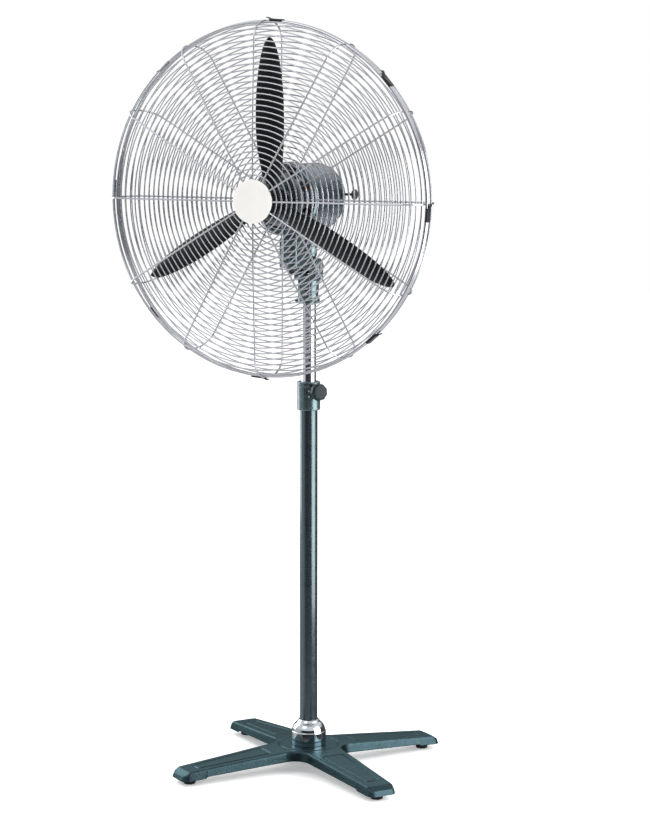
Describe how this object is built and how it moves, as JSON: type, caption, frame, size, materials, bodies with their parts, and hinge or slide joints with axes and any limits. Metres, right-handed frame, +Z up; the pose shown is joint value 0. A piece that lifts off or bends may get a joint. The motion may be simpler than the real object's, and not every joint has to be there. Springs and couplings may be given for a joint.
{
  "type": "pedestal fan",
  "caption": "Industrial pedestal fan: oscillating, tilting three-blade head in a round wire guard on a telescopic pole with a cast cross base.",
  "frame": {"origin": "on the floor under the pole's axis, at the centre of the bounding box's base", "axes": "+Z up along the pole; the fan blows towards -Y; +X is to the right when seen from the front"},
  "size_m": [0.8052, 0.616, 1.7566],
  "materials": {
    "enamel": "satin, hammered enamel",
    "base_enamel": "satin, hammered enamel",
    "motor_enamel": "satin, hammered enamel",
    "chrome": "polished",
    "guard_wire": "polished",
    "zinc": "satin",
    "die_cast_ring": "satin",
    "steel": "satin",
    "laminations": "matte",
    "copper": "satin",
    "bronze": "satin",
    "aluminium": "satin",
    "rubber": "matte",
    "black_plastic": "matte",
    "nylon": "matte",
    "knob": "satin",
    "blade_black": "satin, black enamel",
    "clip_black": "satin",
    "cap_cream": "gloss"
  },
  "bodies": {
    "stand": {"base_casting": "base_enamel", "foot_pad_1": "rubber", "foot_pad_2": "rubber", "foot_pad_3": "rubber", "foot_pad_4": "rubber", "pole_plug": "steel", "base_bolt": "zinc", "pole_base_cover": "chrome", "outer_pole": "enamel", "height_collar": "enamel", "collar_bush": "black_plastic"},
    "height_lock": {"height_lock_knob": "knob", "height_lock_screw": "zinc"},
    "mast": {"inner_pole": "chrome", "inner_pole_glide": "black_plastic", "neck_casting": "enamel", "tilt_bolt": "zinc"},
    "tilt_lock": {"tilt_lock_knob": "knob"},
    "tilt_head": {"tilt_bracket": "enamel", "swivel_bush": "bronze"},
    "link": {"crank_link": "zinc"},
    "head": {"swivel_pin": "steel", "gearbox_housing": "motor_enamel", "gearbox_cover": "motor_enamel", "motor_rear_cover": "motor_enamel", "motor_front_cover": "motor_enamel", "stator_core": "laminations", "winding_front": "copper", "winding_rear": "copper", "front_bearing": "steel", "rear_bearing": "steel", "switch_box": "enamel", "switch_box_lid": "enamel", "speed_switch": "black_plastic", "capacitor": "aluminium", "cable_gland": "black_plastic", "front_guard": "guard_wire", "rear_guard": "guard_wire", "guard_ring_nut": "die_cast_ring", "front_badge": "cap_cream", "rim_clip_1": "clip_black", "rim_clip_2": "clip_black", "rim_clip_3": "clip_black", "rim_clip_4": "clip_black", "rim_clip_5": "clip_black", "rim_clip_6": "clip_black", "rim_clip_7": "clip_black", "rim_clip_8": "clip_black"},
    "fan": {"rotor_core": "laminations", "rotor_shaft": "steel", "fan_hub": "blade_black", "blade_1": "blade_black", "blade_2": "blade_black", "blade_3": "blade_black", "fan_nut": "zinc"},
    "gear_wheel": {"worm_wheel": "nylon"},
    "crank": {"crank_gear": "nylon", "crank_disc": "zinc"},
    "clutch": {"oscillation_knob": "knob"},
    "speed_dial": {"speed_knob": "knob"}
  },
  "joints": [
    {"name": "height_slide", "type": "slide", "parent": "stand", "child": "mast", "axis": [0, 0, 1], "range_m": [-0.17, 0.22]},
    {"name": "height_lock_turn", "type": "hinge", "parent": "stand", "child": "height_lock", "pos_m": [0.03795, -0.02418, 0.904], "axis": [0.8434, -0.5373, 0], "range_deg": [0, 360]},
    {"name": "tilt", "type": "hinge", "parent": "mast", "child": "tilt_head", "pos_m": [0, 0, 1.195], "axis": [1, 0, 0], "range_deg": [-30, 15]},
    {"name": "tilt_lock_turn", "type": "hinge", "parent": "mast", "child": "tilt_lock", "pos_m": [-0.04, 0, 1.195], "axis": [-1, 0, 0], "range_deg": [0, 270]},
    {"name": "oscillation", "type": "hinge", "parent": "tilt_head", "child": "head", "pos_m": [0, 0, 1.26], "axis": [0, 0, 1], "range_deg": [-40, 40]},
    {"name": "link_swing", "type": "hinge", "parent": "tilt_head", "child": "link", "pos_m": [-0.005, 0.022, 1.2587], "axis": [0, 0, 1], "range_deg": [-44, 44]},
    {"name": "fan_spin", "type": "hinge", "parent": "head", "child": "fan", "pos_m": [0, -0.05, 1.354], "axis": [0, -1, 0], "continuous": true},
    {"name": "gear_wheel_spin", "type": "hinge", "parent": "head", "child": "gear_wheel", "pos_m": [-0.0211, 0.0045, 1.354], "axis": [0, 0, 1], "continuous": true},
    {"name": "crank_spin", "type": "hinge", "parent": "head", "child": "crank", "pos_m": [-0.04625, 0.0045, 1.331], "axis": [0, 0, 1], "continuous": true},
    {"name": "clutch_pull", "type": "slide", "parent": "head", "child": "clutch", "axis": [1, 0, 0], "range_m": [0, 0.008]},
    {"name": "speed_turn", "type": "hinge", "parent": "head", "child": "speed_dial", "pos_m": [0, -0.08, 1.19], "axis": [0, 0, -1], "range_deg": [0, 270]}
  ],
  "couplings": [
    {"joint": "gear_wheel_spin", "follows": "fan_spin", "ratio": -0.041667},
    {"joint": "crank_spin", "follows": "fan_spin", "ratio": 0.010417},
    {"joint": "link_swing", "follows": "oscillation", "ratio": 1.06}
  ]
}
